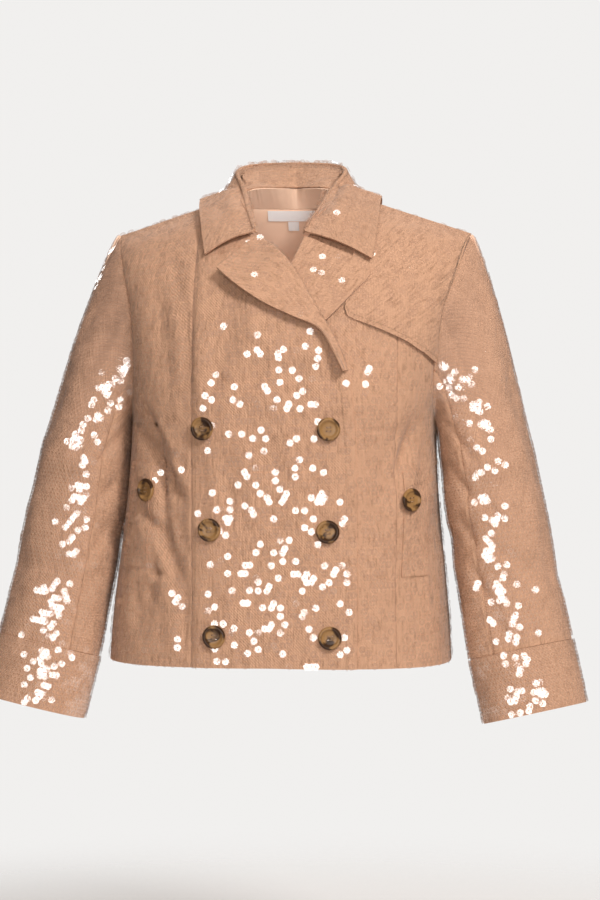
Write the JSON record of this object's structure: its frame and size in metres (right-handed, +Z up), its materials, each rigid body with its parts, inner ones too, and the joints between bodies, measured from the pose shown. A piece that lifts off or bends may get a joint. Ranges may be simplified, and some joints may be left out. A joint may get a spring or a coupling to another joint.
{
  "type": "sequined cropped double-breasted jacket",
  "caption": "Cropped double-breasted jacket in tan cloth covered in clear sequins, with notched lapels, a storm flap, horn buttons, buttoned pocket welts and cuffed sleeves",
  "frame": {"origin": "Inside the jacket midway between the shoulders, where they carry it", "axes": "+X to the wearer's left, -Y is the front, +Z up"},
  "size_m": [0.66, 0.2393, 0.6141],
  "materials": {
    "sequined_cloth": "tan woven cloth under flat clear sequins",
    "button_horn": "polished mottled brown horn effect",
    "neck_satin": "smooth peach satin",
    "woven_label": "bare woven tape"
  },
  "bodies": {
    "root": {"front_centre_left": "sequined_cloth", "front_side_left": "sequined_cloth", "front_centre_right": "sequined_cloth", "front_side_right": "sequined_cloth", "back_left": "sequined_cloth", "back_right": "sequined_cloth", "storm_flap": "sequined_cloth", "lapel_left": "sequined_cloth", "lapel_right": "sequined_cloth", "collar": "sequined_cloth", "upper_sleeve_left": "sequined_cloth", "upper_sleeve_right": "sequined_cloth", "under_sleeve_left": "sequined_cloth", "under_sleeve_right": "sequined_cloth", "cuff_left": "sequined_cloth", "cuff_right": "sequined_cloth", "pocket_welt_left": "sequined_cloth", "pocket_welt_right": "sequined_cloth", "button_left_top": "button_horn", "button_left_middle": "button_horn", "button_left_low": "button_horn", "button_right_top": "button_horn", "button_right_middle": "button_horn", "button_right_low": "button_horn", "pocket_button_left": "button_horn", "pocket_button_right": "button_horn", "neck_facing": "neck_satin", "back_lining": "neck_satin", "neck_label": "woven_label", "size_tab": "woven_label"}
  },
  "joints": []
}
